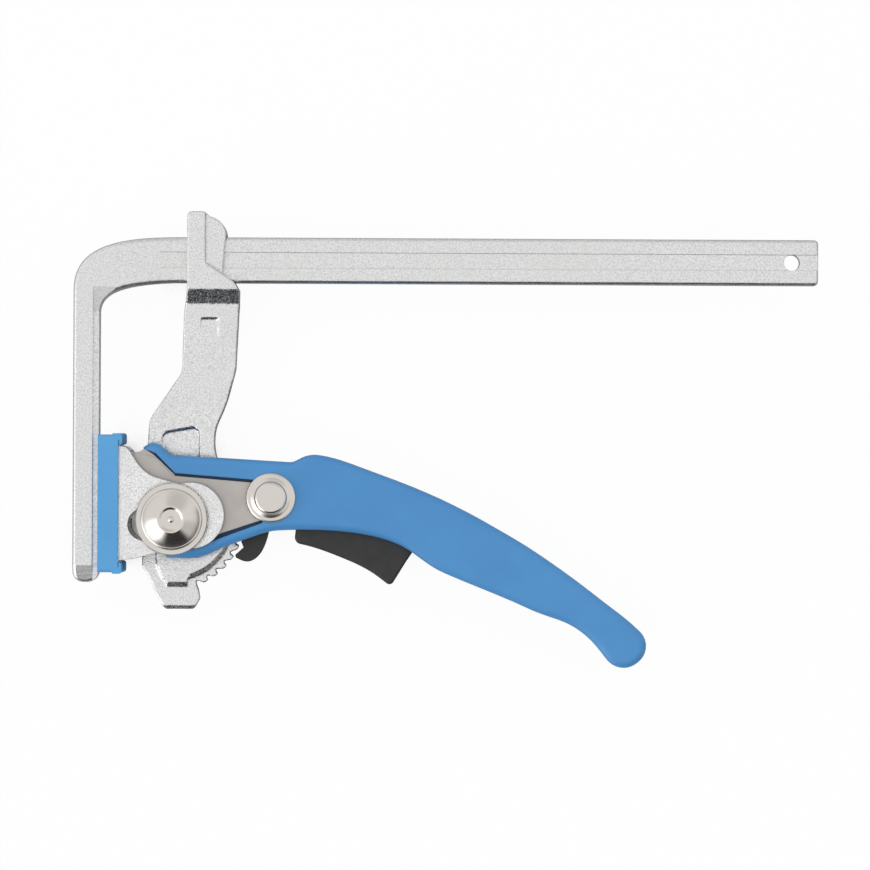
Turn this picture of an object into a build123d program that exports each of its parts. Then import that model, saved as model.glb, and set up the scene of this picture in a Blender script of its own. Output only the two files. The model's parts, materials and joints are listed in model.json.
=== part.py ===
from build123d import *
from math import cos, radians, sin
import os

os.makedirs("parts", exist_ok=True)

# Quick release bar clamp: a forged bar with a T-section leg, a cast arm that slides along the bar, and a
# cam lever with a ratchet that drives a padded yoke against the leg.
#
# Frame: the clamp lies on its side. X runs along the bar, Y from the jaw up to the bar, Z across the clamp.
# The origin is the middle of the fixed jaw's clamping face. Everything is symmetric about Z = 0 but the
# heads of the two pivots. Lengths are millimetres, angles degrees.

# ------------------------------------------------------------------ bar and fixed leg
throat_depth = 60.3  # middle of the jaw to the underside of the bar
bar_height = 12.5
bar_thickness = 6.5
bar_end = 196.4  # jaw face to the free end of the bar
bar_edge_radius = 1.1
bar_corner_radius = 1.2
bend_reach = 23.6  # where the bend runs out into the straight bar
bend_drop = 14.5  # where the bend runs out into the leg, below the top of the bar
bend_inner_rise = 8.0  # where the inside of the bend leaves the jaw, below the bar
groove_width = 4.3
groove_depth = 0.45
groove_runout = 12.0
end_hole_diameter = 4.4
end_hole_inset = 7.2
leg_width = 7.0
leg_head_depth = 11.6  # across the T's head, which runs in a 12 mm slot
leg_neck_depth = 7.6  # across the T's neck, which passes an 8 mm slot
leg_neck_width = 1.6
leg_below_axis = 21.6
leg_tip_radius = 3.0
leg_tip_chamfer = 1.6

# ------------------------------------------------------------------ sliding arm
slide_clearance = 0.3
collar_start = 24.05
collar_width = 10.2  # along the bar, above the shoulder
collar_foot_width = 14.1  # along the bar, where the collar meets the blade
collar_depth = 15.2
collar_roof = 6.9
collar_foot_drop = 1.7  # the collar's full depth ends this far below the bar
collar_foot_slope = 4.0
collar_corner_radius = 1.3
rib_width = 4.9
panel_depth = 0.9
blade_top_depth = 9.4
blade_depth = 7.8
pocket_depth = 0.7
recess_width = 4.8
recess_length = 14.0
recess_depth = 0.8
tooth_plate_depth = 5.0
boss_depth = 7.4
boss_radius = 16.7
boss_bevel = 0.9
boss_bevel_start = -74.0  # direction from the axle where the rim's slope begins
boss_bevel_turn = 91.0
pocket_bevel = 0.5
tooth_tip_radius = 19.4
tooth_root_radius = 18.1
tooth_pitch = 9.7
tooth_count = 9
first_tooth_angle = -62.0
tooth_land = 2.2
lug_reach = 24.7  # the lug's end below the axle
lug_corner_radius = 1.4
lug_tip_chamfer = 1.0
boss_drop = 18.2
shank_front = 13.7  # the arm's front edge beside the cam
shank_back_x = 31.6  # and its back edge
waist_rise = 24.7  # where the blade steps forward into the shank, above the axle

# ------------------------------------------------------------------ pivot axle and its heads
axle_x = 20.4
axle_y = -4.2
axle_radius = 5.0
axle_neck_radius = 4.0
running_clearance = 0.05
side_play = 0.15
washer_radius = 9.75
washer_boss_radius = 6.5
washer_thickness = 1.0
dome_radius = 8.4
dome_height = 4.2
dome_dimple_radius = 3.2
rivet_head_radius = 6.2
rivet_head_height = 1.6
spacer_radius = 7.4
axle_grip = 1.2  # the neck runs this far into the domed cap

# ------------------------------------------------------------------ cam lever
plate_gap = 8.4  # between the two cam plates
plate_thickness = 2.0
plate_hub_radius = 8.8
cam_base_radius = 7.8  # base circle of the involute nose: lift per radian of lever
cam_contact_reach = 14.1  # axle to the cam's contact line at rest
cam_open_angle = 42.0
cam_close_angle = 38.7
grip_depth = 15.4
grip_edge_radius = 2.0
grip_skin = 2.6  # wall over the channel in the grip

# ------------------------------------------------------------------ trigger and pawl
pin_dx = 26.8  # trigger pin from the axle
pin_dy = 5.9
pin_radius = 3.0
pin_flange_radius = 6.75
pin_flange_thickness = 1.4
pin_cap_radius = 4.5
pin_cap_height = 2.2
pin_cap_rounding = 1.1
pawl_thickness = 3.6
pawl_hub_radius = 5.0
tooth_clearance = 0.2
trigger_width = 7.8
trigger_edge_radius = 0.8
spring_wire = 0.6
spring_turns = 1.445
spring_gap = 0.25  # from the pawl to the coil
spring_radius = 4.1
spring_start_angle = 105.0
spring_roof_leg = 14.0
spring_trigger_leg = 13.0
tail_rivet_radius = 1.8

# ------------------------------------------------------------------ press yoke and pad
jaw_gap = 0.2
pad_face_thickness = 2.6
pad_wall = 0.9
pad_height = 37.5
pad_rim = 3.0  # the pad's rim laps this far over the yoke
pad_edge_radius = 1.0
hook_lap = 0.8
hook_drop = 2.8
hook_width = 5.0
hook_proud = 0.35
hook_radius_outer = 0.75
web_thickness = 3.2
cheek_thickness = 2.2
cheek_gap = 16.0  # between the yoke's cheeks
slot_angle = 10.8
slot_back = 7.9  # slot centre line, towards the pad from the axle
slot_ahead = 5.2  # and away from the pad
slot_clearance = 0.3
eye_radius = 9.0

# ------------------------------------------------------------------ worked out from the above
bar_top = throat_depth + bar_height
bar_middle = throat_depth + bar_height / 2
plate_outer = plate_gap / 2 + plate_thickness
cheek_inner = cheek_gap / 2
cheek_outer = cheek_inner + cheek_thickness
pad_half_width = cheek_outer + pad_wall
washer_seat = cheek_outer + side_play
washer_flange = pad_half_width + slide_clearance
washer_top = washer_flange + washer_thickness
web_back = jaw_gap + pad_face_thickness
web_inner = web_back + web_thickness
axle = Vector(axle_x, axle_y)
pin = Vector(axle_x + pin_dx, axle_y + pin_dy)


def from_axle(dx, dy):
    """A point given from the axle's centre."""
    return (axle_x + dx, axle_y + dy)


def from_pin(dx, dy):
    """A point given from the trigger pin's centre."""
    return (pin.X + dx, pin.Y + dy)


def polar(radius, angle):
    """A point at a radius and angle about the axle."""
    return (axle_x + radius * cos(radians(angle)), axle_y + radius * sin(radians(angle)))


def cam_point(turn):
    """The involute nose, where it meets the yoke once the lever has turned this many degrees from rest."""
    reach = -(cam_contact_reach + cam_base_radius * radians(turn))
    back = radians(-turn)
    dx = reach * cos(back) - cam_base_radius * sin(back)
    dy = reach * sin(back) + cam_base_radius * cos(back)
    return from_axle(dx, dy)


def cut_both_faces(tool):
    """Take a tool out of the part being built, above and below its middle plane."""
    add(tool, mode=Mode.SUBTRACT)
    mirror(tool, about=Plane.XY, mode=Mode.SUBTRACT)


def wedge_section(edge, run, fall):
    """A slope that climbs from a step's edge, this far along X, up to a face that lies on the X axis."""
    with BuildSketch() as section:
        with BuildLine():
            Polyline(
                (edge, -fall),
                (edge + run, 0),
                (edge + run, fall),
                (edge - run, fall),
                (edge - run, -fall),
                close=True,
            )
        make_face()
    return section.sketch


def sloped_step(start, end, size):
    """Slope the arm's faces down to the edge of a step, on the left of the line along that edge."""
    line = Vector(end) - Vector(start)
    across = Plane(origin=(*start, blade_depth / 2), x_dir=(-line.Y, line.X, 0), z_dir=line)
    section = across * wedge_section(0, size, size)
    cut_both_faces(extrude(section, amount=line.length, mode=Mode.PRIVATE))


def finish(piece, name):
    """Label a sub-part and write its file."""
    piece.part.label = name
    export_step(piece.part, f"parts/{name}.step")


# ================================================================== rail: bar, bend and T-section leg
leg_tip = -leg_below_axis
bend_start_y = bar_top - bend_drop
leg_top_y = throat_depth - bend_inner_rise

with BuildPart() as rail:
    with BuildSketch(Plane.XY):
        with BuildLine():
            top = Line((bar_end, bar_top), (bend_reach, bar_top))
            outer = Bezier(
                top @ 1,
                (0.26 * bend_reach, bar_top),
                (-leg_width, bar_top - 0.14 * bend_drop),
                (-leg_width, bend_start_y),
            )
            back = Line(outer @ 1, (-leg_width, leg_tip))
            toe = Line(back @ 1, (0, leg_tip))
            jaw = Line(toe @ 1, (0, leg_top_y))
            inner = Bezier(
                jaw @ 1,
                (0, throat_depth - 0.25 * bend_inner_rise),
                (0.35 * bend_reach, throat_depth - 0.05 * bend_inner_rise),
                (0.87 * bend_reach, throat_depth),
            )
            under = Line(inner @ 1, (bar_end, throat_depth))
            Line(under @ 1, top @ 0)
        make_face()
        fillet(vertices().group_by(Axis.Y)[0], radius=leg_tip_radius)
        fillet(vertices().group_by(Axis.X)[-1], radius=bar_corner_radius)
    extrude(amount=leg_head_depth / 2, both=True)
    # seen from above, the forging spreads from the bar's thickness to the leg's through the bend
    with BuildSketch(Plane.XZ):
        with BuildLine():
            face = Line((bar_end + 1, bar_thickness / 2), (bend_reach, bar_thickness / 2))
            spread = Bezier(
                face @ 1,
                (0.6 * bend_reach, bar_thickness / 2),
                (0.5 * bend_reach, leg_head_depth / 2),
                (0.1 * bend_reach, leg_head_depth / 2),
            )
            leg_face = Line(spread @ 1, (-leg_width - 1, leg_head_depth / 2))
            Line(leg_face @ 1, (-leg_width - 1, 0))
            Line((bar_end + 1, 0), face @ 0)
            mirror(about=Plane.XZ)
        make_face()
    extrude(amount=bar_end, both=True, mode=Mode.INTERSECT)
    # the leg's tip is drawn down to enter a slot
    with BuildSketch(Plane.YZ):
        with BuildLine():
            flank = Polyline(
                (leg_tip - 1, 0),
                (leg_tip - 1, leg_head_depth / 2 - leg_tip_chamfer),
                (leg_tip, leg_head_depth / 2 - leg_tip_chamfer),
                (leg_tip + 3 * leg_tip_chamfer, leg_head_depth / 2 + 0.01),
                (bar_top + 1, leg_head_depth / 2 + 0.01),
                (bar_top + 1, 0),
            )
            mirror(about=Plane.XZ)
        make_face()
    extrude(amount=bar_end + leg_width, both=True, mode=Mode.INTERSECT)
    fillet(edges().filter_by(Axis.Z, reverse=True), radius=bar_edge_radius)
    # the T's neck, which runs out up a slope where the bend begins
    with BuildSketch(Plane.YZ.offset(-leg_neck_width)):
        with BuildLine():
            Polyline(
                (leg_tip - 1, leg_neck_depth / 2),
                (leg_top_y, leg_neck_depth / 2),
                (leg_top_y + 0.9 * bend_inner_rise, leg_head_depth / 2 + 0.1),
                (leg_tip - 1, leg_head_depth / 2 + 0.1),
                close=True,
            )
        make_face()
    cut_both_faces(extrude(amount=bend_reach, mode=Mode.PRIVATE))
    # the rolled groove along each face of the bar
    with BuildSketch(Plane.XZ.offset(-bar_middle)):
        floor_z = bar_thickness / 2 - groove_depth
        with BuildLine():
            Polyline(
                (bar_end + 1, floor_z),
                (bend_reach, floor_z),
                (bend_reach - 0.4 * groove_runout, floor_z + 0.9 * groove_depth),
                (bend_reach - 0.8 * groove_runout, bar_thickness / 2 + 2.6 * groove_depth),
                (bend_reach - groove_runout, leg_head_depth / 2),
                (bar_end + 1, leg_head_depth / 2),
                close=True,
            )
        make_face()
    cut_both_faces(extrude(amount=groove_width / 2, both=True, mode=Mode.PRIVATE))
    with Locations((bar_end - end_hole_inset, bar_middle, 0)):
        Hole(radius=end_hole_diameter / 2)
finish(rail, "rail")

# ================================================================== sliding arm: collar, blade, ratchet sector
collar_end = collar_start + collar_width
foot_end = collar_start + collar_foot_width
collar_top = bar_top + collar_roof
foot_y = throat_depth - collar_foot_drop
blade_top_y = foot_y - collar_foot_slope
axle_axis = Axis((axle_x, axle_y, 0), (0, 0, 1))
boss_start = Vector(cos(radians(boss_bevel_start)), sin(radians(boss_bevel_start)))
boss_turn = boss_start.rotate(Axis.Z, -90)
waist_y = axle_y + waist_rise
lug_bottom = axle_y - lug_reach
last_tooth_angle = first_tooth_angle + tooth_pitch * (tooth_count - 1)

with BuildPart() as sliding_arm:
    with BuildSketch(Plane.XY):
        with BuildLine():
            collar_front = Line((collar_start, collar_top), (collar_start, foot_y))
            blade_front = Polyline(
                collar_front @ 1,
                (collar_start - 0.9, foot_y - 7),
                (collar_start - 1.3, waist_y + 17.3),
            )
            thigh = Line((shank_front + 8.2, waist_y + 14.2), (shank_front + 1.4, waist_y + 4.2))
            Spline(blade_front @ 1, thigh @ 0, tangents=(blade_front % 1, thigh % 0))
            knee = Spline(thigh @ 1, (shank_front, waist_y + 0.8), tangents=(thigh % 1, (0, -1)))
            shank = Line(knee @ 1, (shank_front - 1.8, axle_y - 10.5))
            lug_front = Polyline(
                shank @ 1,
                (shank_front - 1.8, axle_y - 13.2),
                (shank_front + 0.1, axle_y - 15.9),
                (shank_front + 1.8, axle_y - 20.1),
                (shank_front + 4.4, lug_bottom),
                (axle_x + 5.8, lug_bottom),
                (axle_x + 7.4, axle_y - 21.8),
                polar(tooth_tip_radius, first_tooth_angle - 0.8 * tooth_pitch),
            )
            tip_arc = CenterArc(
                from_axle(0, 0),
                tooth_tip_radius,
                first_tooth_angle - 0.8 * tooth_pitch,
                last_tooth_angle - first_tooth_angle + 0.9 * tooth_pitch,
            )
            shank_back = Spline(
                tip_arc @ 1,
                (shank_back_x + 0.6, axle_y + 16.6),
                (shank_back_x, axle_y + 21.5),
                tangents=((-0.6, 1), (0, 1)),
            )
            elbow_back = Spline(
                shank_back @ 1,
                (shank_back_x + 2.5, waist_y + 5.2),
                (shank_back_x + 4.9, waist_y + 13.1),
                (foot_end - 0.8, waist_y + 17.5),
                tangents=((0, 1), (0.06, 1)),
            )
            blade_back = Line(elbow_back @ 1, (foot_end, blade_top_y))
            collar_back = Polyline(
                blade_back @ 1,
                (foot_end, foot_y - 0.3),
                (foot_end - 1.4, throat_depth + 0.3),
                (collar_end - 0.6, throat_depth + 2.5),
                (collar_end, bar_top - 2),
                (collar_end + 0.4, bar_top + 0.5),
            )
            shoulder = ThreePointArc(
                collar_back @ 1,
                (collar_end - 0.8, bar_top + 3.6),
                (collar_end - 4.2, bar_top + 5.6),
            )
            crown = Polyline(shoulder @ 1, (collar_end - 5.4, collar_top), collar_front @ 0)
        make_face()
        fillet(vertices().group_by(Axis.Y)[-1], radius=collar_corner_radius)
        fillet(vertices().group_by(Axis.Y)[0], radius=lug_corner_radius)
    extrude(amount=collar_depth / 2, both=True)
    # the casting thins from the collar down a slope to the blade, and on to the shank
    with BuildSketch(Plane.YZ):
        with BuildLine():
            Polyline(
                (collar_top + 1, 0),
                (collar_top + 1, collar_depth / 2),
                (foot_y, collar_depth / 2),
                (blade_top_y, blade_top_depth / 2),
                (waist_y, blade_depth / 2),
                (lug_bottom + 2 * lug_tip_chamfer, blade_depth / 2),
                (lug_bottom + lug_tip_chamfer, tooth_plate_depth / 2),
                (lug_bottom, tooth_plate_depth / 2 - lug_tip_chamfer),
                (lug_bottom - 1, tooth_plate_depth / 2 - lug_tip_chamfer),
                (lug_bottom - 1, 0),
            )
            mirror(about=Plane.XZ)
        make_face()
    extrude(amount=foot_end + collar_depth, both=True, mode=Mode.INTERSECT)
    # outside the boss, the lug and the toothed sector are a thinner plate
    with BuildSketch(Plane.XY.offset(tooth_plate_depth / 2)):
        with BuildLine():
            Polyline(
                (shank_front - 5, axle_y - 5),
                (shank_front - 5, lug_bottom - 1),
                from_axle(tooth_tip_radius + 5, lug_bottom - 1 - axle_y),
                from_axle(tooth_tip_radius + 5, 5),
                from_axle(0, 5),
                from_axle(0, -5),
                close=True,
            )
        make_face()
        with Locations(from_axle(0, 0)):
            Circle(boss_radius, mode=Mode.SUBTRACT)
        with BuildLine():
            Polyline(
                from_axle(-4.8, -5),
                from_axle(-15, -5),
                from_axle(-15, -boss_radius - 1),
                from_axle(-2.2, -boss_radius - 1),
                from_axle(-4.4, -12.5),
                close=True,
            )
        make_face()
        with BuildLine():
            Polyline(
                from_axle(-4.4, -12.5),
                from_axle(-3.5, -14.4),
                from_axle(-2.2, -16.1),
                from_axle(-1.5, -boss_drop),
                from_axle(3.9, -boss_drop),
                from_axle(3.9, -5),
                close=True,
            )
        make_face(mode=Mode.SUBTRACT)
    cut_both_faces(extrude(amount=blade_depth, mode=Mode.PRIVATE))
    sloped_step(from_axle(-1.5, -boss_drop), from_axle(3.9, -boss_drop), boss_bevel)
    with BuildSketch(Plane(origin=(axle_x, axle_y, blade_depth / 2), x_dir=boss_start, z_dir=boss_turn)):
        add(wedge_section(boss_radius, -boss_bevel, boss_bevel))
    cut_both_faces(revolve(axis=axle_axis, revolution_arc=boss_bevel_turn, mode=Mode.PRIVATE))
    # the ratchet's gullets: a steep flank that holds the pawl, and a ramp that it climbs
    with BuildSketch(Plane.XY):
        for tooth in range(-1, tooth_count - 1):
            crest = first_tooth_angle + tooth * tooth_pitch
            with BuildLine():
                Polyline(
                    polar(tooth_tip_radius + 1, crest + tooth_land / 2),
                    polar(tooth_root_radius, crest + 0.8 * tooth_land),
                    polar(tooth_root_radius, crest + 1.5 * tooth_land),
                    polar(tooth_tip_radius + 0.4, crest + tooth_pitch - tooth_land / 2),
                    polar(tooth_tip_radius + 1, crest + tooth_pitch - tooth_land / 2),
                    close=True,
                )
            make_face()
    extrude(amount=blade_depth, both=True, mode=Mode.SUBTRACT)
    # the collar's cheek is cast lower beside the rib, down to a diagonal edge
    with BuildSketch(Plane.XY.offset(collar_depth / 2 - panel_depth)):
        rib_edge = collar_start + rib_width
        with BuildLine():
            Polyline(
                (rib_edge, collar_top + 1),
                (rib_edge, throat_depth + 5.4),
                (rib_edge + 12, throat_depth - 2.2),
                (foot_end + 8, collar_top + 1),
                close=True,
            )
        make_face()
    cut_both_faces(extrude(amount=collar_depth, mode=Mode.PRIVATE))
    # a pocket for the cam plates' side faces, between the front edge and the back strip
    with BuildSketch(Plane.XY.offset(blade_depth / 2 - pocket_depth)):
        with BuildLine():
            Polyline(
                (shank_front + 3.6, axle_y + 8),
                (shank_front + 3.6, axle_y + 22.4),
                (shank_front + 4.4, axle_y + 23.4),
                (shank_back_x - 5.4, axle_y + 24.9),
                (shank_back_x - 4.0, axle_y + 23.9),
                (shank_back_x - 4.0, axle_y + 8),
                close=True,
            )
        make_face()
        fillet(vertices().group_by(Axis.Y, tol_digits=0)[0], radius=2.0)
    cut_both_faces(extrude(amount=blade_depth, mode=Mode.PRIVATE))
    sloped_step((shank_front + 4.4, axle_y + 23.4), (shank_back_x - 5.4, axle_y + 24.9), pocket_bevel)
    # a long recess in the blade, deepest towards the collar
    with BuildSketch(Plane.YZ.offset(collar_start + rib_width - 1.2)):
        recess_top_y = blade_top_y - 3.9
        with BuildLine():
            Polyline(
                (recess_top_y, blade_top_depth / 2 - recess_depth),
                (recess_top_y, blade_top_depth),
                (recess_top_y - recess_length, blade_top_depth),
                (recess_top_y - recess_length, blade_depth / 2 + 0.1),
                close=True,
            )
        make_face()
    cut_both_faces(extrude(amount=recess_width, mode=Mode.PRIVATE))
    # the window that the bar runs through, and the axle's bore
    with Locations((collar_start + collar_foot_width / 2, bar_middle, 0)):
        Box(
            2 * collar_foot_width,
            bar_height + 2 * slide_clearance,
            bar_thickness + 2 * slide_clearance,
            mode=Mode.SUBTRACT,
        )
    with Locations(from_axle(0, 0)):
        Hole(radius=axle_radius)
finish(sliding_arm, "sliding_arm")

# ================================================================== pivot axle, its washers, rings and cap
axle_plane = Plane(origin=(axle_x, axle_y, 0), x_dir=(1, 0, 0), z_dir=(0, -1, 0))
shoulder_z = plate_outer + side_play

with BuildPart() as pivot_axle:
    with BuildSketch(axle_plane):
        with BuildLine():
            Polyline(
                (0, washer_top + axle_grip),
                (axle_neck_radius, washer_top + axle_grip),
                (axle_neck_radius, shoulder_z),
                (axle_radius, shoulder_z),
                (axle_radius, -shoulder_z),
                (axle_neck_radius, -shoulder_z),
                (axle_neck_radius, -washer_top),
                (rivet_head_radius, -washer_top),
                (rivet_head_radius, -washer_top - 0.4 * rivet_head_height),
            )
            TangentArc(
                (0, -washer_top - rivet_head_height),
                (rivet_head_radius, -washer_top - 0.4 * rivet_head_height),
                tangent=(1, 0),
            )
            Line((0, -washer_top - rivet_head_height), (0, washer_top + axle_grip))
        make_face()
    revolve(axis=axle_axis)
finish(pivot_axle, "pivot_axle")

for side in ("front", "rear"):
    with BuildPart() as washer:
        with BuildSketch(axle_plane):
            with BuildLine():
                Polyline(
                    (axle_neck_radius, washer_seat),
                    (washer_boss_radius, washer_seat),
                    (washer_boss_radius, washer_flange),
                    (washer_radius, washer_flange),
                    (washer_radius, washer_top - 0.2),
                    (washer_radius - 0.2, washer_top),
                    (axle_neck_radius, washer_top),
                    close=True,
                )
            make_face()
            if side == "rear":
                mirror(about=Plane.XZ, mode=Mode.REPLACE)
        revolve(axis=axle_axis)
    finish(washer, f"axle_washer_{side}")

    with BuildPart() as ring:
        with BuildSketch(Plane.XY.offset(shoulder_z if side == "front" else side_play - cheek_inner)):
            with Locations(from_axle(0, 0)):
                Circle(spacer_radius)
                Circle(axle_neck_radius, mode=Mode.SUBTRACT)
        extrude(amount=cheek_inner - side_play - shoulder_z)
    finish(ring, f"spacer_ring_{side}")

with BuildPart() as axle_cap:
    with BuildSketch(axle_plane):
        base = washer_top
        crest = washer_top + dome_height
        with BuildLine():
            foot = Polyline(
                (axle_neck_radius, base + axle_grip),
                (axle_neck_radius, base),
                (dome_radius, base),
                (dome_radius, base + 0.14 * dome_height),
            )
            shoulder = ThreePointArc(
                foot @ 1,
                (0.975 * dome_radius, base + 0.22 * dome_height),
                (0.92 * dome_radius, base + 0.27 * dome_height),
            )
            flank = ThreePointArc(
                shoulder @ 1,
                (0.68 * dome_radius, base + 0.68 * dome_height),
                (dome_dimple_radius + 0.5, crest),
            )
            lip = ThreePointArc(
                flank @ 1,
                (dome_dimple_radius, crest - 0.12),
                (dome_dimple_radius - 0.5, crest - 0.45),
            )
            dish = Line(lip @ 1, (0.9, crest - 0.8))
            pip = TangentArc((0, crest - 0.4), dish @ 1, tangent=(1, 0))
            Polyline(pip @ 0, (0, base + axle_grip), foot @ 0)
        make_face()
    revolve(axis=axle_axis)
finish(axle_cap, "axle_cap")

# ================================================================== cam plates
tail_rivet = from_axle(46.6, 8.2)

with BuildSketch() as plate_outline:
    with BuildLine():
        turns = [cam_close_angle - step * (cam_close_angle + cam_open_angle) / 6 for step in range(7)]
        nose = Spline([cam_point(turn) for turn in turns])
        heel = Line(nose @ 1, from_axle(-0.97 * plate_hub_radius, -0.24 * plate_hub_radius))
        hub = ThreePointArc(
            heel @ 1,
            from_axle(-0.78 * plate_hub_radius, -0.626 * plate_hub_radius),
            from_axle(0.17 * plate_hub_radius, -0.985 * plate_hub_radius),
        )
        belly = Polyline(
            hub @ 1,
            from_axle(5.5, -7.4),
            from_axle(13.4, -3.8),
            from_axle(24, -0.3),
            from_axle(30, -1.2),
            from_axle(44, -1.6),
            from_axle(54, -1.0),
        )
        tail = ThreePointArc(belly @ 1, from_axle(57.5, 3.2), from_axle(55, 8.4))
        back = Polyline(
            tail @ 1,
            from_axle(46, 12.2),
            from_axle(31, 12.8),
            from_axle(25.8, 9.7),
            from_axle(0.2, 11.8),
            from_axle(-5.2, 17.0),
        )
        Line(back @ 1, nose @ 0)
    make_face()

for side, low in (("front", plate_gap / 2), ("rear", -plate_outer)):
    with BuildPart() as plate:
        with BuildSketch(Plane.XY.offset(low)):
            add(plate_outline.sketch)
            with Locations(from_axle(0, 0)):
                Circle(axle_radius + running_clearance, mode=Mode.SUBTRACT)
            with Locations(from_axle(pin_dx, pin_dy)):
                Circle(pin_radius, mode=Mode.SUBTRACT)
            with Locations(tail_rivet):
                Circle(tail_rivet_radius, mode=Mode.SUBTRACT)
        extrude(amount=plate_thickness)
    finish(plate, f"cam_plate_{side}")

# ================================================================== handle grip: moulded fork and lever
channel_end = 68.3

with BuildPart() as handle_grip:
    with BuildSketch(Plane.XY):
        with BuildLine():
            horn = ThreePointArc(from_axle(-8.4, 19.0), from_axle(-5.6, 20.6), from_axle(-2.4, 19.2))
            valley = Spline(horn @ 1, from_axle(0.6, 17.35), tangents=(horn % 1, (1, -0.06)))
            rest = Line(valley @ 1, from_axle(31.2, 15.6))
            hump = Spline(
                rest @ 1, from_axle(35.6, 17.1), from_axle(39.2, 17.6), tangents=(rest % 1, (1, -0.12))
            )
            spine = Spline(
                hump @ 1,
                from_axle(51, 14.3),
                from_axle(65, 9.1),
                from_axle(78, 3.3),
                from_axle(92.5, -4.8),
                from_axle(106, -13.8),
                from_axle(117.7, -22.5),
                from_axle(127.4, -31.0),
                tangents=(hump % 1, (0.7, -0.71)),
            )
            tip = ThreePointArc(spine @ 1, from_axle(129.0, -34.6), from_axle(122.4, -40.3))
            heel = Spline(
                tip @ 1,
                from_axle(116.9, -35.7),
                from_axle(107.7, -28.0),
                from_axle(100.2, -25.3),
                from_axle(92.6, -22.0),
                tangents=(tip % 1, (-0.92, 0.39)),
            )
            palm = Spline(
                heel @ 1,
                from_axle(75.9, -15.2),
                from_axle(71.5, -13.1),
                from_axle(63.4, -7.6),
                from_axle(56.8, -5.0),
                from_axle(38, -2.8),
                from_axle(29, -3.0),
                tangents=(heel % 1, (-1, -0.05)),
            )
            under_fork = Spline(
                palm @ 1,
                from_axle(21.3, -5.0),
                from_axle(12.9, -8.1),
                from_axle(3.2, -10.7),
                tangents=(palm % 1, (-1, 0.05)),
            )
            Polyline(
                under_fork @ 1,
                from_axle(-1.6, -10.5),
                from_axle(-1.6, -5),
                from_axle(-6.8, 17.0),
                horn @ 0,
            )
        make_face()
    extrude(amount=grip_depth / 2, both=True)
    fillet(edges().filter_by(Axis.Z, reverse=True), radius=grip_edge_radius)
    # the slot between the fork's cheeks, which runs on as a closed-topped channel in the grip
    with BuildSketch(Plane.XY):
        with BuildLine():
            Polyline(
                from_axle(-30, 40),
                from_axle(31, 40),
                from_axle(31, 12.9),
                from_axle(38.7, 17.6 - grip_skin),
                from_axle(46, 15.9 - grip_skin),
                from_axle(65, 8.7 - grip_skin),
                from_axle(channel_end, 6.9 - grip_skin),
                from_axle(channel_end, -30),
                from_axle(-30, -30),
                close=True,
            )
        make_face()
    extrude(amount=plate_gap / 2, both=True, mode=Mode.SUBTRACT)
    for low in (plate_gap / 2, -plate_outer):
        with BuildSketch(Plane.XY.offset(low)):
            add(plate_outline.sketch)
        extrude(amount=plate_thickness, mode=Mode.SUBTRACT)
    # the moulding leaves the plates bare from the nose to the trigger pin, with a gap round their edges
    with BuildSketch(Plane.XY.offset(plate_gap / 2)):
        with BuildLine():
            upper = Polyline(
                from_axle(-20, 24),
                from_axle(-8.9, 19.5),
                from_axle(-4.7, 18.0),
                from_axle(0.7, 12.5),
                from_axle(pin_dx - 1, pin_dy + 4.6),
            )
            nose_end = ThreePointArc(
                upper @ 1, from_axle(pin_dx + 5.0, pin_dy), from_axle(pin_dx - 1, pin_dy - 5.6)
            )
            Polyline(
                nose_end @ 1,
                from_axle(24.2, -1.1),
                from_axle(13.7, -4.9),
                from_axle(5.9, -8.1),
                from_axle(-0.8, -9.2),
                from_axle(-20, -9.2),
                upper @ 0,
            )
        make_face()
    cut_both_faces(extrude(amount=grip_depth, mode=Mode.PRIVATE))
    with Locations(from_axle(pin_dx, pin_dy)):
        Hole(radius=pin_radius)
finish(handle_grip, "handle_grip")

# ================================================================== trigger pin, its flanges and the tail rivet
pin_plane = Plane(origin=(pin.X, pin.Y, 0), x_dir=(1, 0, 0), z_dir=(0, -1, 0))
pin_axis = Axis((pin.X, pin.Y, 0), (0, 0, 1))
flange_base = grip_depth / 2
flange_top = flange_base + pin_flange_thickness

with BuildPart() as trigger_pin:
    with BuildSketch(pin_plane):
        button = flange_top + pin_cap_height
        with BuildLine():
            crown = Line((0, button), (pin_cap_radius - pin_cap_rounding, button))
            brim = TangentArc(
                crown @ 1,
                (pin_cap_radius, button - pin_cap_rounding),
                tangent=(1, 0),
            )
            Polyline(
                brim @ 1,
                (pin_cap_radius, flange_top + 0.4),
                (pin_cap_radius - 0.4, flange_top),
                (pin_radius, flange_top),
                (pin_radius, -flange_top),
                (pin_cap_radius, -flange_top),
                (pin_cap_radius, -flange_top - 0.4 * pin_cap_height),
                (pin_cap_radius - pin_cap_rounding, -flange_top - 0.7 * pin_cap_height),
                (0, -flange_top - 0.7 * pin_cap_height),
                crown @ 0,
            )
        make_face()
    revolve(axis=pin_axis)
finish(trigger_pin, "trigger_pin")

for side in ("front", "rear"):
    with BuildPart() as flange:
        with BuildSketch(pin_plane):
            with BuildLine():
                seat = Polyline(
                    (pin_radius, flange_top),
                    (pin_radius, flange_base),
                    (pin_flange_radius, flange_base),
                    (pin_flange_radius, flange_base + 0.4 * pin_flange_thickness),
                )
                dome = ThreePointArc(
                    seat @ 1,
                    (0.6 * pin_flange_radius + 0.4 * pin_cap_radius, flange_base + 0.75 * pin_flange_thickness),
                    (pin_cap_radius + 0.2, flange_top),
                )
                Line(dome @ 1, seat @ 0)
            make_face()
            if side == "rear":
                mirror(about=Plane.XZ, mode=Mode.REPLACE)
        revolve(axis=pin_axis)
    finish(flange, f"pin_flange_{side}")

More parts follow.
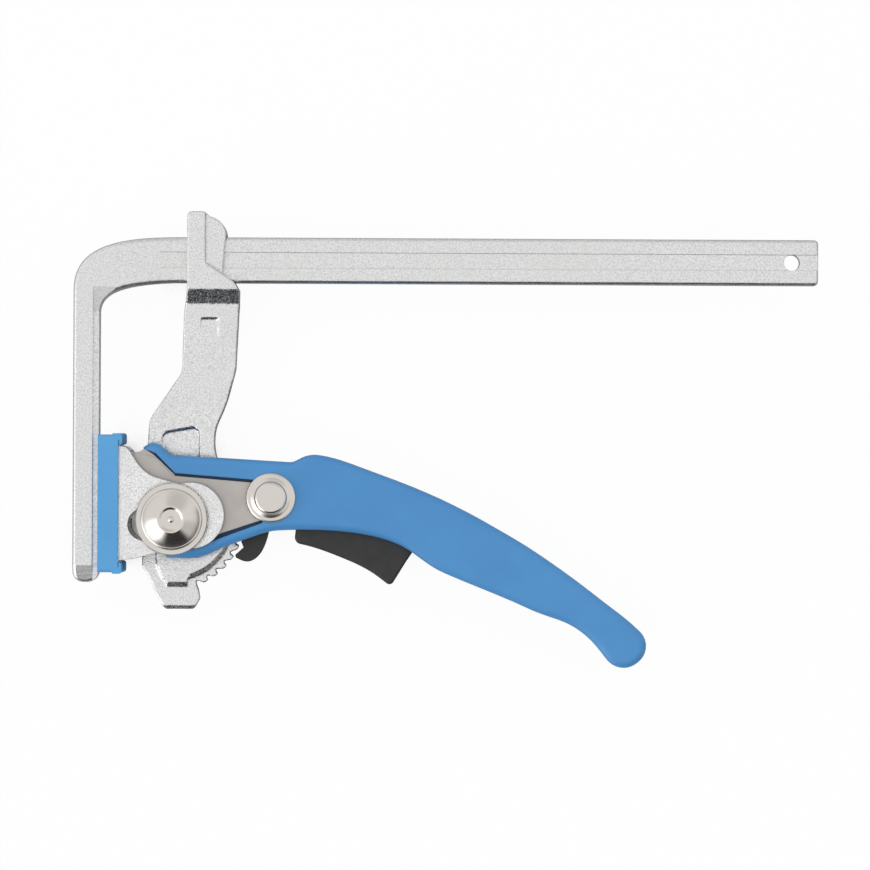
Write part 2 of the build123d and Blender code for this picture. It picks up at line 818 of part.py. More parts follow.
with BuildPart() as tail_spacer:
    with Locations(tail_rivet):
        Cylinder(radius=tail_rivet_radius, height=2 * plate_outer)
        Cylinder(radius=tail_rivet_radius + 1, height=plate_gap)
finish(tail_spacer, "tail_spacer")

# ================================================================== pawl lever and the trigger moulded on its tail
pawl_angle = -30.0
hook_radius = tooth_tip_radius + tooth_clearance

with BuildSketch() as tail_outline:
    with BuildLine():
        Polyline(
            from_pin(0, 4.2),
            from_pin(8, -2.0),
            from_pin(27.5, -11.0),
            from_pin(28.6, -13.2),
            from_pin(26.8, -14.6),
            from_pin(9, -9.3),
            from_pin(-1, -4.2),
            close=True,
        )
    make_face()

with BuildPart() as pawl:
    with BuildSketch(Plane.XY):
        with Locations(from_pin(0, 0)):
            Circle(pawl_hub_radius)
        with BuildLine():
            face = Polyline(
                from_pin(-0.98 * pawl_hub_radius, 0.2 * pawl_hub_radius),
                polar(hook_radius + 0.1, pawl_angle + 18),
                polar(hook_radius, pawl_angle + 11.5),
                polar(hook_radius + 1.1, pawl_angle + 8),
                polar(hook_radius, pawl_angle),
                polar(hook_radius + 0.5, pawl_angle - 1.6),
            )
            belly = Spline(
                face @ 1,
                from_pin(-6.0, -17.5),
                from_pin(-3.2, -15.6),
                from_pin(-0.7, -9.2),
                from_pin(3.2, -3.9),
                tangents=((0.87, -0.5), (0.6, 0.8)),
            )
            Line(belly @ 1, face @ 0)
        make_face()
        add(tail_outline.sketch)
        with Locations(from_pin(0, 0)):
            Circle(pin_radius + running_clearance, mode=Mode.SUBTRACT)
    extrude(amount=pawl_thickness / 2, both=True)
finish(pawl, "pawl")

with BuildPart() as trigger:
    with BuildSketch(Plane.XY):
        with BuildLine():
            front = Polyline(from_pin(8.4, -5.4), from_pin(6.7, -8.7), from_pin(6.5, -10.6))
            chin = ThreePointArc(front @ 1, from_pin(6.9, -12.0), from_pin(8.2, -12.7))
            finger = Spline(
                chin @ 1,
                from_pin(18.5, -16.0),
                from_pin(28.3, -20.8),
                from_pin(31.4, -23.1),
                tangents=((0.97, -0.2), (0.8, -0.6)),
            )
            beak = ThreePointArc(finger @ 1, from_pin(32.6, -23.5), from_pin(33.6, -22.7))
            Polyline(
                beak @ 1,
                from_pin(36.8, -17.5),
                from_pin(38.6, -14.8),
                from_pin(38.2, -11.4),
                from_pin(33, -8.6),
                from_pin(24, -7.4),
                front @ 0,
            )
        make_face()
    extrude(amount=trigger_width / 2, both=True)
    fillet(edges().filter_by(Axis.Z, reverse=True), radius=trigger_edge_radius)
    with BuildSketch(Plane.XY):
        add(tail_outline.sketch)
    extrude(amount=pawl_thickness / 2, both=True, mode=Mode.SUBTRACT)
finish(trigger, "trigger")

# ================================================================== trigger spring: torsion coil about the pin
coil_low = pawl_thickness / 2 + spring_gap + spring_wire / 2
coil_pitch = spring_wire + 0.05

with BuildPart() as trigger_spring:
    with BuildLine() as wire:
        coil = Helix(
            pitch=coil_pitch,
            height=coil_pitch * spring_turns,
            radius=spring_radius,
            center=(pin.X, pin.Y, coil_low),
        )
        roof_leg = Line(coil @ 0 - (coil % 0) * spring_roof_leg, coil @ 0)
        Line(coil @ 1, coil @ 1 + (coil % 1) * spring_trigger_leg)
    with BuildSketch(Plane(origin=roof_leg @ 0, z_dir=roof_leg % 0)):
        Circle(spring_wire / 2)
    sweep(path=wire.line)
# turned so that one leg bears on the channel's roof and the other on the trigger's back
trigger_spring.part = trigger_spring.part.rotate(pin_axis, spring_start_angle)
finish(trigger_spring, "trigger_spring")

# ================================================================== press yoke and its pad
slot_dir = Vector(cos(radians(slot_angle)), sin(radians(slot_angle)))
eye = axle + slot_dir * slot_ahead
slot_middle = axle + slot_dir * (slot_ahead - slot_back) / 2
web_height = pad_height - 3.0

with BuildPart() as yoke:
    with BuildSketch(Plane.XY.offset(cheek_inner)):
        with BuildLine():
            brow = Line((web_back, 15.6), (web_inner + 0.6, 15.6))
            neck = Spline(
                brow @ 1,
                from_axle(-10.8, 17.2),
                from_axle(-7.5, 13.0),
                (eye.X - 3.0, eye.Y + 0.943 * eye_radius),
                tangents=((1, -0.1), (1, -0.33)),
            )
            rim = ThreePointArc(
                neck @ 1,
                (eye.X + eye_radius, eye.Y),
                (eye.X + 0.6, eye.Y - 0.998 * eye_radius),
            )
            chin = Spline(
                rim @ 1,
                from_axle(-4.2, -9.2),
                from_axle(-9.5, -10.6),
                tangents=((-1, -0.07), (-1, -0.28)),
            )
            Polyline(chin @ 1, (web_back, -16.0), brow @ 0)
        make_face()
        with Locations((slot_middle.X, slot_middle.Y)):
            SlotCenterToCenter(
                slot_back + slot_ahead,
                2 * (axle_neck_radius + slot_clearance),
                rotation=slot_angle,
                mode=Mode.SUBTRACT,
            )
    cheek = extrude(amount=cheek_thickness)
    mirror(cheek, about=Plane.XY)
    with Locations(((web_back + web_inner) / 2, 0, 0)):
        Box(web_thickness, web_height, 2 * cheek_outer)
finish(yoke, "yoke")

with BuildPart() as pad:
    rim_end = web_back + pad_rim
    with Locations(((jaw_gap + rim_end) / 2, 0, 0)):
        Box(rim_end - jaw_gap, pad_height, 2 * pad_half_width)
    fillet(edges().filter_by(Axis.X), radius=pad_edge_radius)
    with Locations((web_back + pad_rim, 0, 0)):
        Box(2 * pad_rim, web_height, 2 * cheek_outer, mode=Mode.SUBTRACT)
    # four hooks snap behind the yoke's web
    with BuildSketch(Plane.XY.offset(pad_half_width - hook_width)):
        hook_back = web_inner + hook_lap
        hook_top = pad_height / 2 + hook_proud
        with BuildLine():
            Polyline(
                (rim_end - 1.6, web_height / 2),
                (rim_end - 1.6, hook_top),
                (hook_back, hook_top),
                (hook_back, pad_height / 2 - hook_drop),
                (web_inner, pad_height / 2 - hook_drop),
                (web_inner, web_height / 2),
                close=True,
            )
        make_face()
        fillet(vertices().group_by(Axis.X)[-1], radius=hook_radius_outer)
    hook = extrude(amount=hook_width, mode=Mode.PRIVATE)
    for corner in (hook, mirror(hook, about=Plane.XY, mode=Mode.PRIVATE)):
        add(corner)
        mirror(corner, about=Plane.XZ)
finish(pad, "pad")
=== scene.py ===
"""The looks of the quick release bar clamp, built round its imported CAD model.

Blender's lengths are metres. Sizes and places in this file are millimetres, and MM turns them into metres.
"""

import json
import math

import bmesh
import bpy
import numpy as np
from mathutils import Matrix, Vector, noise

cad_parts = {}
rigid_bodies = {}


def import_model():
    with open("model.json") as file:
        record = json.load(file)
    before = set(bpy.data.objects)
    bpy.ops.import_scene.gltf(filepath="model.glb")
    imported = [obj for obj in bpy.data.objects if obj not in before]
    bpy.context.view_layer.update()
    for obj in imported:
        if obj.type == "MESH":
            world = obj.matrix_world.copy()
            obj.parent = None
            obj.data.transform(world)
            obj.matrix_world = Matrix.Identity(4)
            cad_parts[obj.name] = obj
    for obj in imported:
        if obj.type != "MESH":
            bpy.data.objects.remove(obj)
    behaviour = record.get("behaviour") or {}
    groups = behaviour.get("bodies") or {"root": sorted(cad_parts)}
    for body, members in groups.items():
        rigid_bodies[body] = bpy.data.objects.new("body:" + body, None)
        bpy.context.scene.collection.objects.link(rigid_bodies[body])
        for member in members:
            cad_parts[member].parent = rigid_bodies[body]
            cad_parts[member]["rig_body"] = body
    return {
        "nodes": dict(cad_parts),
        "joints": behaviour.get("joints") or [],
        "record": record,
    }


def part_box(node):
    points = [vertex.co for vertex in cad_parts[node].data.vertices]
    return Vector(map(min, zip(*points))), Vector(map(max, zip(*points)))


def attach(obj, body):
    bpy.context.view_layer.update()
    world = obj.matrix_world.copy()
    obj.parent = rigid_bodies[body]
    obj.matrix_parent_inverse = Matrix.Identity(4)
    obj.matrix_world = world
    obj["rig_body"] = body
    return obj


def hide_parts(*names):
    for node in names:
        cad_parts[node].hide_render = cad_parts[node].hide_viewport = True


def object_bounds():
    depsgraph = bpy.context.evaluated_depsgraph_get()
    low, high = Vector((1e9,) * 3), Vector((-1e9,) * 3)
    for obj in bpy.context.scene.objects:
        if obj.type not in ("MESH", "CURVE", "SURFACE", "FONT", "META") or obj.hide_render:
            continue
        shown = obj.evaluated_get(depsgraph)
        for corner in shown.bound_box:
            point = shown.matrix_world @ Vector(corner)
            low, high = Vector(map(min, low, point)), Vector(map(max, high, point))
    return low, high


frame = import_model()
cad_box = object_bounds()
nodes = frame["nodes"]
slots = {part["node"]: part["material_slot"] for part in frame["record"]["subparts"]}
MM = 0.001


# ------------------------------------------------------------------ shader nodes
class NodeTree:
    """Short calls that add, set and link the shader nodes of one tree."""

    def __init__(self, tree):
        self.tree = tree

    def add(self, kind):
        return self.tree.nodes.new(f"ShaderNode{kind}")

    def link(self, source, target):
        self.tree.links.new(source, target)

    def feed(self, socket, value):
        """Sets a socket to a number or a colour, or links a pattern to it."""
        if isinstance(value, (int, float)):
            socket.default_value = value
        elif isinstance(value, tuple):
            socket.default_value = (*value, 1.0)
        else:
            self.link(value, socket)

    def maths(self, operation, *values):
        node = self.add("Math")
        node.operation = operation
        for socket, value in zip(node.inputs, values):
            self.feed(socket, value)
        return node.outputs["Value"]

    def agreement(self, direction, aim):
        """How far a direction agrees with an aim: 1 along it, 0 across it, -1 against it."""
        node = self.add("VectorMath")
        node.operation = "DOT_PRODUCT"
        node.inputs[1].default_value = aim
        self.link(direction, node.inputs[0])
        return node.outputs["Value"]


class Look(NodeTree):
    """A material built round one Principled shader, patterned in the part's own coordinates."""

    EDGE_SAMPLES = 6
    OCCLUSION_SAMPLES = 4

    def __init__(self, name, colour, metallic=0.0, roughness=0.5, edge=0.0):
        self.mat = bpy.data.materials.new(name)
        self.mat.use_nodes = True
        super().__init__(self.mat.node_tree)
        self.shader = self.tree.nodes["Principled BSDF"]
        self.put("Base Color", (*colour, 1.0))
        self.put("Metallic", metallic)
        self.put("Roughness", roughness)
        self.place = self.add("TexCoord").outputs
        self.normal = None
        if edge:
            rounding = self.add("Bevel")
            rounding.samples = self.EDGE_SAMPLES
            rounding.inputs["Radius"].default_value = edge * MM
            self.turn(rounding)

    def put(self, socket, value):
        self.shader.inputs[socket].default_value = value

    def turn(self, node):
        """Gives the shader the normal of the last node that changes it."""
        self.normal = node.outputs["Normal"]
        self.link(self.normal, self.shader.inputs["Normal"])

    def placed(self, size, stretch=(1, 1, 1)):
        """The part's coordinates, divided by the size of a pattern."""
        mapping = self.add("Mapping")
        mapping.inputs["Scale"].default_value = [1 / (size * MM * longer) for longer in stretch]
        self.link(self.place["Object"], mapping.inputs["Vector"])
        return mapping.outputs["Vector"]

    def noise(self, size, detail=2.0, stretch=(1, 1, 1)):
        node = self.add("TexNoise")
        node.inputs["Scale"].default_value = 1.0
        node.inputs["Detail"].default_value = detail
        self.link(self.placed(size, stretch), node.inputs["Vector"])
        return node.outputs["Fac"]

    def cells(self, size):
        node = self.add("TexVoronoi")
        node.inputs["Scale"].default_value = 1.0
        self.link(self.placed(size), node.inputs["Vector"])
        return node.outputs["Distance"]

    def ramp(self, source, *stops):
        """Maps a pattern to a value or a colour through (position, value) stops."""
        node = self.add("ValToRGB")
        elements = node.color_ramp.elements
        while len(elements) < len(stops):
            elements.new(0.5)
        for element, (position, value) in zip(elements, stops):
            element.position = position
            element.color = (*value, 1.0) if isinstance(value, tuple) else (value, value, value, 1.0)
        self.link(source, node.inputs["Fac"])
        return node.outputs["Color"]

    def mixed(self, factor, a, b, blend="MIX"):
        node = self.add("Mix")
        node.data_type = "RGBA"
        node.blend_type = blend
        colours = [socket for socket in node.inputs if socket.type == "RGBA"]
        for socket, value in zip((node.inputs[0], *colours), (factor, a, b)):
            self.feed(socket, value)
        return next(socket for socket in node.outputs if socket.type == "RGBA")

    def reach(self, letter):
        """The place along an axis of the part, as a share of 100 mm."""
        node = self.add("SeparateXYZ")
        self.link(self.place["Object"], node.inputs["Vector"])
        return self.maths("MULTIPLY", node.outputs[letter], 1 / (100 * MM))

    def facing(self, *aim):
        """How far the surface faces a direction of the part's own frame."""
        return self.agreement(self.place["Normal"], aim)

    def occlusion(self, distance, samples=OCCLUSION_SAMPLES):
        node = self.add("AmbientOcclusion")
        node.samples = samples
        node.inputs["Distance"].default_value = distance * MM
        return node.outputs["AO"]

    def colour(self, source):
        self.link(source, self.shader.inputs["Base Color"])

    def roughness(self, source):
        self.link(source, self.shader.inputs["Roughness"])

    def bump(self, height, depth):
        """Adds relief: a pattern from 0 to 1, raised by a depth."""
        node = self.add("Bump")
        node.inputs["Distance"].default_value = depth * MM
        node.inputs["Strength"].default_value = 1.0
        self.link(height, node.inputs["Height"])
        if self.normal is not None:
            self.link(self.normal, node.inputs["Normal"])
        self.turn(node)


# ------------------------------------------------------------------ procedural materials
def grey(value, warmth=0.0):
    return (value * (1 + warmth), value, value * (1 - warmth))


def zinc_casting(name, bright=1.0):
    """Zinc plate on a sand cast skin, with painted shade where it faces away from the bar and in its corners.
    """
    look = Look(name, grey(0.74), metallic=1.0, roughness=0.4, edge=0.35)
    grain = look.noise(0.42, detail=4.0)
    pits = look.cells(0.5)
    stain = look.noise(9.0, detail=3.0)
    dull, plain, shiny = (grey(value * bright) for value in (0.6, 0.77, 0.88))
    skin = look.ramp(grain, (0.34, dull), (0.5, plain), (0.64, shiny))
    # painted shade: faces that look down, away from the bar, take a speckled dark grey
    downward_shade = look.ramp(look.facing(0.25, -0.97, 0.0), (0.25, 0.0), (0.55, 1.0))
    speckled_shade = look.ramp(grain, (0.37, grey(0.06)), (0.51, grey(0.34)), (0.61, grey(0.8)))
    skin = look.mixed(downward_shade, skin, speckled_shade)
    # painted shade: the colour is darker in corners and crevices, from ambient occlusion
    corners = look.ramp(look.occlusion(3.0), (0.25, 0.3), (0.75, 1.0))
    skin = look.mixed(1.0, skin, corners, "MULTIPLY")
    look.colour(look.mixed(look.ramp(stain, (0.35, 0.0), (0.7, 0.3)), skin, grey(0.68, 0.01)))
    look.roughness(look.ramp(stain, (0.3, 0.24), (0.7, 0.32)))
    # rougher below the elbow and on the slope under the collar
    up = look.reach("Y")
    coarse = look.ramp(up, (0.3, 1.0), (0.4, 0.3), (0.53, 0.3), (0.55, 1.0), (0.585, 1.0), (0.6, 0.3))
    look.bump(look.maths("MULTIPLY", grain, coarse), 0.15)
    look.bump(pits, 0.02)
    look.bump(look.noise(2.4, detail=2.0), 0.06)
    return look.mat


def zinc_steel():
    """Zinc plate on the drawn bar, with painted shade on the bar's lower bevels but not on the leg."""
    look = Look("zinc_steel", grey(0.72), metallic=1.0, roughness=0.34, edge=0.2)
    grain = look.noise(0.45, detail=2.0)
    drawn = look.noise(0.28, detail=2.0, stretch=(28, 1, 1))
    stain = look.noise(12.0, detail=4.0, stretch=(2, 1, 1))
    skin = look.ramp(grain, (0.34, grey(0.62)), (0.5, grey(0.76)), (0.64, grey(0.85)))
    # painted shade: the bar's downward bevels take a speckled dark grey, faded out towards the leg
    on_bar = look.ramp(look.reach("X"), (0.02, 0.0), (0.1, 1.0))
    downward_shade = look.ramp(look.facing(0.1, -0.995, 0.0), (0.45, 0.0), (0.7, 0.7))
    speckled_shade = look.ramp(grain, (0.4, grey(0.12)), (0.62, grey(0.5)))
    skin = look.mixed(look.maths("MULTIPLY", downward_shade, on_bar), skin, speckled_shade)
    look.colour(look.mixed(look.ramp(stain, (0.35, 0.0), (0.75, 0.4)), skin, grey(0.74, 0.012)))
    look.roughness(look.ramp(drawn, (0.3, 0.24), (0.7, 0.34)))
    look.bump(grain, 0.02)
    look.bump(drawn, 0.01)
    return look.mat


def plate_steel():
    """Satin steel plate with faint stains."""
    look = Look("plate_steel", grey(0.46, 0.06), metallic=1.0, roughness=0.4, edge=0.2)
    stain = look.noise(5.0, detail=4.0)
    look.colour(look.ramp(stain, (0.3, grey(0.44, 0.07)), (0.7, grey(0.53, 0.055))))
    look.roughness(look.ramp(stain, (0.3, 0.34), (0.7, 0.46)))
    look.bump(look.noise(0.4, detail=2.0), 0.01)
    return look.mat


def turned_steel(name, node):
    """Polished turning: fine rings about the middle of a node."""
    low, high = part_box(node)
    centre = (low + high) / 2
    ring_width = 0.12
    look = Look(name, grey(0.66, 0.065), metallic=1.0, roughness=0.17)
    flat = look.add("VectorMath")
    flat.operation = "MULTIPLY"
    flat.inputs[1].default_value = (1, 1, 0)
    look.link(look.place["Object"], flat.inputs[0])
    radius = look.add("VectorMath")
    radius.operation = "DISTANCE"
    radius.inputs[1].default_value = (centre.x, centre.y, 0)
    look.link(flat.outputs["Vector"], radius.inputs[0])
    rings = look.add("TexNoise")
    rings.noise_dimensions = "1D"
    rings.inputs["Scale"].default_value = 1.0
    rings.inputs["Detail"].default_value = 2.0
    look.link(look.maths("MULTIPLY", radius.outputs["Value"], 1 / (ring_width * MM)), rings.inputs["W"])
    look.roughness(look.ramp(rings.outputs["Fac"], (0.3, 0.12), (0.7, 0.24)))
    look.bump(rings.outputs["Fac"], 0.003)
    look.bump(look.noise(1.6, detail=2.0), 0.004)
    return look.mat


def spring_steel():
    look = Look("spring_steel", grey(0.5), metallic=1.0, roughness=0.3)
    look.bump(look.noise(0.2), 0.004)
    return look.mat


def black_steel():
    look = Look("black_steel", (0.03, 0.029, 0.028), metallic=0.3, roughness=0.5, edge=0.4)
    grain = look.noise(0.35, detail=3.0)
    look.colour(look.ramp(grain, (0.3, (0.022, 0.021, 0.02)), (0.7, (0.042, 0.04, 0.038))))
    look.bump(grain, 0.02)
    return look.mat


def black_plastic():
    look = Look("black_plastic", (0.035, 0.034, 0.033), roughness=0.48, edge=0.5)
    look.colour(look.ramp(look.noise(4.0), (0.3, (0.015, 0.0148, 0.0145)), (0.7, (0.022, 0.0217, 0.0213))))
    look.bump(look.noise(0.3, detail=2.0), 0.012)
    return look.mat


def blue_plastic(name, colour, deep):
    """Satin moulding whose colour drifts between two near shades."""
    look = Look(name, colour, roughness=0.4, edge=0.4)
    look.put("Specular IOR Level", 0.45)
    look.colour(look.ramp(look.noise(14.0, detail=3.0), (0.3, deep), (0.7, colour)))
    look.roughness(look.ramp(look.noise(3.0, detail=4.0), (0.3, 0.36), (0.7, 0.46)))
    look.bump(look.noise(0.45, detail=2.0), 0.01)
    return look.mat


looks = {
    "zinc_steel": zinc_steel(),
    "zinc_casting": zinc_casting("zinc_casting"),
    "zinc_yoke": zinc_casting("zinc_yoke", bright=1.08),
    "plate_steel": plate_steel(),
    "spring_steel": spring_steel(),
    "black_steel": black_steel(),
    "black_plastic": black_plastic(),
    "blue_grip": blue_plastic("blue_grip", (0.068, 0.275, 0.59), (0.060, 0.252, 0.555)),
    "blue_pad": blue_plastic("blue_pad", (0.095, 0.36, 0.70), (0.085, 0.335, 0.665)),
    # a much darker copy of the grip's blue for the groove floors: painted shade
    "groove_shade_blue": blue_plastic("groove_shade_blue", (0.012, 0.05, 0.12), (0.01, 0.042, 0.1)),
    "bright_steel_axle": turned_steel("bright_steel_axle", "axle_cap"),
    "bright_steel_pin": turned_steel("bright_steel_pin", "trigger_pin"),
}


def look_of(node):
    """The finish of a node: its slot's own, but for the turned pieces and the yoke."""
    if slots[node] == "bright_steel":
        return looks["bright_steel_pin" if "pin" in node else "bright_steel_axle"]
    return looks["zinc_yoke" if node == "yoke" else slots[node]]


def dress(obj, mat):
    obj.data.materials.clear()
    obj.data.materials.append(mat)


for name, obj in nodes.items():
    dress(obj, look_of(name))


# ------------------------------------------------------------------ pieces and their meshes
def add_piece(name, mesh, mat):
    obj = bpy.data.objects.new(name, mesh)
    bpy.context.scene.collection.objects.link(obj)
    dress(obj, mat)
    return obj


def stand_in(obj, name):
    """Lets a piece stand for a node: puts it on the node's body and hides the node."""
    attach(obj, nodes[name]["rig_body"])
    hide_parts(name)


def closed_mesh(name, points, faces):
    """A mesh of points in millimetres, with all its faces turned outward."""
    mesh = bpy.data.meshes.new(name)
    mesh.from_pydata([[place * MM for place in point] for point in points], [], faces)
    shape = bmesh.new()
    shape.from_mesh(mesh)
    bmesh.ops.recalc_face_normals(shape, faces=shape.faces)
    shape.to_mesh(mesh)
    shape.free()
    return mesh


def rows(items, attribute):
    """An attribute of a mesh's vertices, as rows of x, y and z."""
    values = np.empty(len(items) * 3)
    items.foreach_get(attribute, values)
    return values.reshape(-1, 3)


def move(mesh, points):
    mesh.vertices.foreach_set("co", points.ravel())
    mesh.update()


def shade_smooth(mesh):
    mesh.polygons.foreach_set("use_smooth", [True] * len(mesh.polygons))


# ------------------------------------------------------------------ the casting's rounded edges
WELD_GAP = 0.002
VOXEL = 0.3
SMOOTHING_ROUNDS = 4
SKIN_WAVE = 3.1
SKIN_RIPPLE = 1.2
SKIN_RELIEF = 0.05

RECESS_X = (26.8, 34.4)
RECESS_Y = (36.0, 51.2)
LANDS_X = ((25.4, 26.8), (34.4, 35.6))
LEAST_LEVEL = 2.5
LEAST_DEPTH = 0.15
RUN_OUT_START = 41.5
RUN_OUT_LENGTH = 8.5


def within(values, low, high):
    return (values > low) & (values < high)


def run_out(points):
    """Lets the shallow recess on the blade's two faces run out towards the elbow.

    The blade's own face is a slope through the lands on both sides of the recess.
    """
    x, y, z = (points / MM).T
    level = abs(z)
    on_face = within(y, *RECESS_Y) & (level > LEAST_LEVEL)
    left_land, right_land = (within(x, *land) for land in LANDS_X)
    beside = on_face & (left_land | right_land)
    surface = np.polyval(np.polyfit(y[beside], level[beside], 1), y)
    sunk = on_face & within(x, *RECESS_X) & (surface - level > LEAST_DEPTH)
    depth = (surface - level) * np.clip((y - RUN_OUT_START) / RUN_OUT_LENGTH, 0.0, 1.0)
    points[sunk, 2] = (np.sign(z) * (surface - depth))[sunk] * MM


def rounded(mesh):
    """A mesh made anew from voxels and smoothed, which rounds its edges."""
    blank = bpy.data.objects.new("blank", mesh.copy())
    bpy.context.scene.collection.objects.link(blank)
    weld = blank.modifiers.new("weld", "WELD")
    weld.merge_threshold = WELD_GAP * MM
    remesh = blank.modifiers.new("remesh", "REMESH")
    remesh.mode = "VOXEL"
    remesh.voxel_size = VOXEL * MM
    smooth = blank.modifiers.new("smooth", "SMOOTH")
    smooth.factor = 0.5
    smooth.iterations = SMOOTHING_ROUNDS
    evaluated = blank.evaluated_get(bpy.context.evaluated_depsgraph_get())
    result = bpy.data.meshes.new_from_object(evaluated)
    bpy.data.objects.remove(blank)
    return result


def skin_height(point):
    """The uneven skin at a point: long waves with ripples half as high."""
    wave = noise.noise(point / (SKIN_WAVE * MM))
    ripple = noise.noise(point / (SKIN_RIPPLE * MM))
    return wave + 0.5 * ripple


def cast(name):
    """Stands in for a node with the rounded edges and uneven skin of a casting."""
    mesh = rounded(nodes[name].data)
    points = rows(mesh.vertices, "co")
    outward = rows(mesh.vertex_normals, "vector")
    swell = np.array([skin_height(Vector(point)) for point in points])
    points += outward * swell[:, None] * SKIN_RELIEF * MM
    run_out(points)
    move(mesh, points)
    shade_smooth(mesh)
    stand_in(add_piece(f"{name}_cast", mesh, look_of(name)), name)


cast("sliding_arm")

# ------------------------------------------------------------------ the dished flanges under the pin's caps
FLANGE_STEPS = 96
FLANGE_BORE = 3.2
FLANGE_SEAT = 4.5
FLANGE_CONE = 5.3
RIM_WIDTH = 0.9
RIM_BEVEL = 0.25
CREASE_DEGREES = 50


def dished_flange(name, side):
    """Stands in for a flange with a flat rim that rises in a cone to the pin's cap.

    side is 1 at the front and -1 at the rear.
    """
    low, high = (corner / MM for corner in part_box(name))
    centre = (low + high) / 2
    base = low.z if side > 0 else high.z
    outer = (high.x - low.x) / 2
    foot, edge, shoulder, rim, rise, seat = 0.0, 0.4, 0.62, 0.66, 0.78, 1.38
    profile = [
        (FLANGE_BORE, foot),
        (outer, foot),
        (outer, edge),
        (outer - RIM_BEVEL, shoulder),
        (outer - RIM_WIDTH, rim),
        (FLANGE_CONE, rise),
        (FLANGE_SEAT, seat),
        (FLANGE_BORE, seat),
    ]
    count = len(profile)
    points = []
    faces = []
    for step in range(FLANGE_STEPS):
        turn = math.tau * step / FLANGE_STEPS
        here = step * count
        there = (step + 1) % FLANGE_STEPS * count
        for k, (radius, height) in enumerate(profile):
            after = (k + 1) % count
            x = centre.x + radius * math.cos(turn)
            y = centre.y + radius * math.sin(turn)
            points.append((x, y, base + side * height))
            faces.append((here + k, there + k, there + after, here + after))
    mesh = closed_mesh(f"{name}_dished", points, faces)
    shade_smooth(mesh)
    mesh.set_sharp_from_angle(angle=math.radians(CREASE_DEGREES))
    stand_in(add_piece(f"{name}_dished", mesh, look_of(name)), name)


dished_flange("pin_flange_front", 1)
dished_flange("pin_flange_rear", -1)

# ------------------------------------------------------------------ the grip's far end
# On the lever, lengths are measured from its axle.
lever_joint = next(joint for joint in frame["joints"] if joint["name"] == "handle_pivot")
AXLE_X, AXLE_Y = (place / MM for place in lever_joint["pos_m"][:2])

# how high the grip's two edges lie at lengths along it, and how far each is raised
BACK = ((80, 2.2), (92.5, -4.8), (106, -13.8), (117.7, -22.5), (127.4, -31.0))
BELLY = ((80, -16.8), (92.6, -22.0), (107.7, -28.0), (116.9, -35.7), (122.4, -40.3), (127.4, -38.0))
BACK_LIFT = ((88, 0.0), (98, 0.33), (110, 0.42), (119, 0.3), (124, 0.62), (127, 0.8))
BELLY_LIFT = ((119, 0.0), (124, 0.4), (127, 0.8))
TIP_STRETCH = ((116, 0.0), (127, 0.3))


def read_off(curve, x):
    lengths, values = zip(*curve)
    return np.interp(x, lengths, values)


def swell_tip(name):
    """Stands in for the grip, whose far end is a little fuller along its back.

    The piece is a copy of the node's object and keeps its properties, the mark of a CAD node among them.
    """
    obj = nodes[name].copy()
    obj.name = f"{name}_moulded"
    bpy.context.scene.collection.objects.link(obj)
    mesh = nodes[name].data.copy()
    points = rows(mesh.vertices, "co")
    x = points[:, 0] / MM - AXLE_X
    y = points[:, 1] / MM - AXLE_Y
    back = read_off(BACK, x)
    belly = read_off(BELLY, x)
    share = np.clip((y - belly) / (back - belly), 0.0, 1.0)
    lift = share * read_off(BACK_LIFT, x) + (1 - share) * read_off(BELLY_LIFT, x)
    points[:, 0] += read_off(TIP_STRETCH, x) * MM
    points[:, 1] += lift * MM
    move(mesh, points)
    obj.data = mesh
    stand_in(obj, name)


swell_tip("handle_grip")

# ------------------------------------------------------------------ the moulding round the cam plates, with painted shade in its grooves
# the groove floors are sheets of the grip's blue made dark: painted shade in the gap round the cam plates
GROOVE_FLOOR = (4.6, 5.6)
UPPER_GROOVE = [(-4.6, 18.6), (0.9, 13.1), (27.0, 11.0), (27.0, 9.2), (0.3, 11.4), (-5.6, 16.6)]
LOWER_GROOVE = [(5.5, -7.2), (13.4, -3.6), (24.0, -0.2), (26.0, -1.4), (13.9, -5.3), (5.9, -8.5)]
PLATE_FACE = (5.7, 6.19)
PLATE_LIP = [(-10.6, 17.5), (-7.6, 19.2), (-5.2, 17.5), (0.6, 12.0), (0.2, 11.5), (-5.2, 16.7), (-10.6, 17.0)]


def layer(name, outline, levels, mat, owner):
    """A thin layer on the lever at both faces, between two levels out from its middle plane."""
    count = len(outline)
    ends = [tuple(range(count)), tuple(range(count, 2 * count))]
    sides = [(k, (k + 1) % count, (k + 1) % count + count, k + count) for k in range(count)]
    for face, side in (("front", 1), ("rear", -1)):
        points = [(x + AXLE_X, y + AXLE_Y, side * level) for level in levels for x, y in outline]
        obj = add_piece(f"{name}_{face}", closed_mesh(f"{name}_{face}", points, ends + sides), mat)
        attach(obj, nodes[owner]["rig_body"])


layer("upper_groove", UPPER_GROOVE, GROOVE_FLOOR, looks["groove_shade_blue"], "handle_grip")
layer("lower_groove", LOWER_GROOVE, GROOVE_FLOOR, looks["groove_shade_blue"], "handle_grip")
layer("plate_lip", PLATE_LIP, PLATE_FACE, looks["plate_steel"], "cam_plate_front")

# ------------------------------------------------------------------ floor
WHITE = (1.0, 1.0, 1.0)
FLOOR_HALF = 4000.0
FLOOR_GAP = 0.2
SHADE_DISTANCE = 20.0
SHADE_SAMPLES = 8


